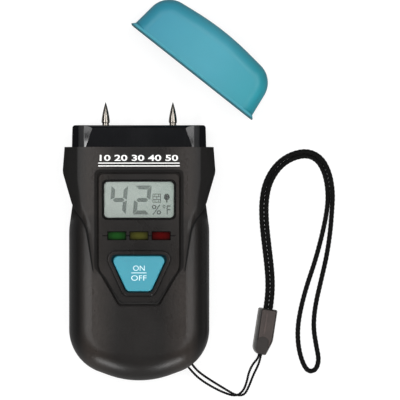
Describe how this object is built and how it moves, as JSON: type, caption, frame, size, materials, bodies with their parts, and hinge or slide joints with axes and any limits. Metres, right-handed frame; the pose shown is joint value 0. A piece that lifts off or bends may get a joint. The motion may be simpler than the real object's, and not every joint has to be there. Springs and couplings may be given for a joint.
{
  "type": "pin moisture meter",
  "caption": "Hand-held pin-type moisture meter with display, push button, wrist strap and a cap that has been taken off its two pins.",
  "frame": {"origin": "on the flat back face, on the centre line, 41.3 mm below the shoulder where the electrode head starts", "axes": "+Y along the pins, +Z out of the display, +X to the right of the display"},
  "size_m": [0.0964, 0.1408, 0.0238],
  "materials": {
    "housing_plastic": "fine moulded texture, satin",
    "head_plastic": "gloss",
    "teal_plastic": "satin",
    "clear_window": "clear gloss",
    "display_glass": "satin",
    "green_lamp": "gloss",
    "yellow_lamp": "gloss",
    "red_lamp": "gloss",
    "inner_plastic": "matt",
    "strip_rubber": "matt",
    "board_laminate": "satin",
    "screw_steel": "plated",
    "pin_steel": "polished",
    "cell_steel": "plated",
    "contact_brass": "plain",
    "clip_plastic": "satin",
    "string_cord": "fine twisted cord",
    "braid_cord": "braided cord"
  },
  "bodies": {
    "meter": {"front_shell": "housing_plastic", "rear_shell": "housing_plastic", "housing_screws": "screw_steel", "board_screws": "screw_steel", "display_window": "clear_window", "lcd_panel": "display_glass", "lcd_holder": "inner_plastic", "contact_strips": "strip_rubber", "light_guide_green": "green_lamp", "light_guide_yellow": "yellow_lamp", "light_guide_red": "red_lamp", "lamp_chips": "inner_plastic", "button_switch": "inner_plastic", "circuit_board": "board_laminate", "measuring_chip": "inner_plastic", "electrode_head": "head_plastic", "electrode_pin_left": "pin_steel", "electrode_pin_right": "pin_steel", "pin_terminal_left": "contact_brass", "pin_terminal_right": "contact_brass", "pin_nuts": "contact_brass", "button_cell_1": "cell_steel", "button_cell_2": "cell_steel", "button_cell_3": "cell_steel", "button_cell_4": "cell_steel", "battery_tray": "inner_plastic", "battery_plate": "contact_brass", "battery_spring": "screw_steel", "strap_clip": "clip_plastic", "strap_string": "string_cord", "wrist_cord": "braid_cord"},
    "button": {"set_button": "teal_plastic", "switch_plunger": "inner_plastic"},
    "door": {"battery_door": "housing_plastic"},
    "cap": {"pin_cap": "teal_plastic"}
  },
  "joints": [
    {"name": "button_press", "type": "slide", "parent": "meter", "child": "button", "axis": [0, 0, -1], "range_m": [0, 0.0008], "stiffness_N_per_m": 1500},
    {"name": "battery_door_slide", "type": "slide", "parent": "meter", "child": "door", "axis": [0, -1, 0], "range_m": [0, 0.032]},
    {"name": "cap_on", "type": "hinge", "parent": "meter", "child": "cap", "pos_m": [0.047, 0.028, 0.0115], "axis": [0, 0, 1], "range_deg": [0, 38.35]}
  ]
}
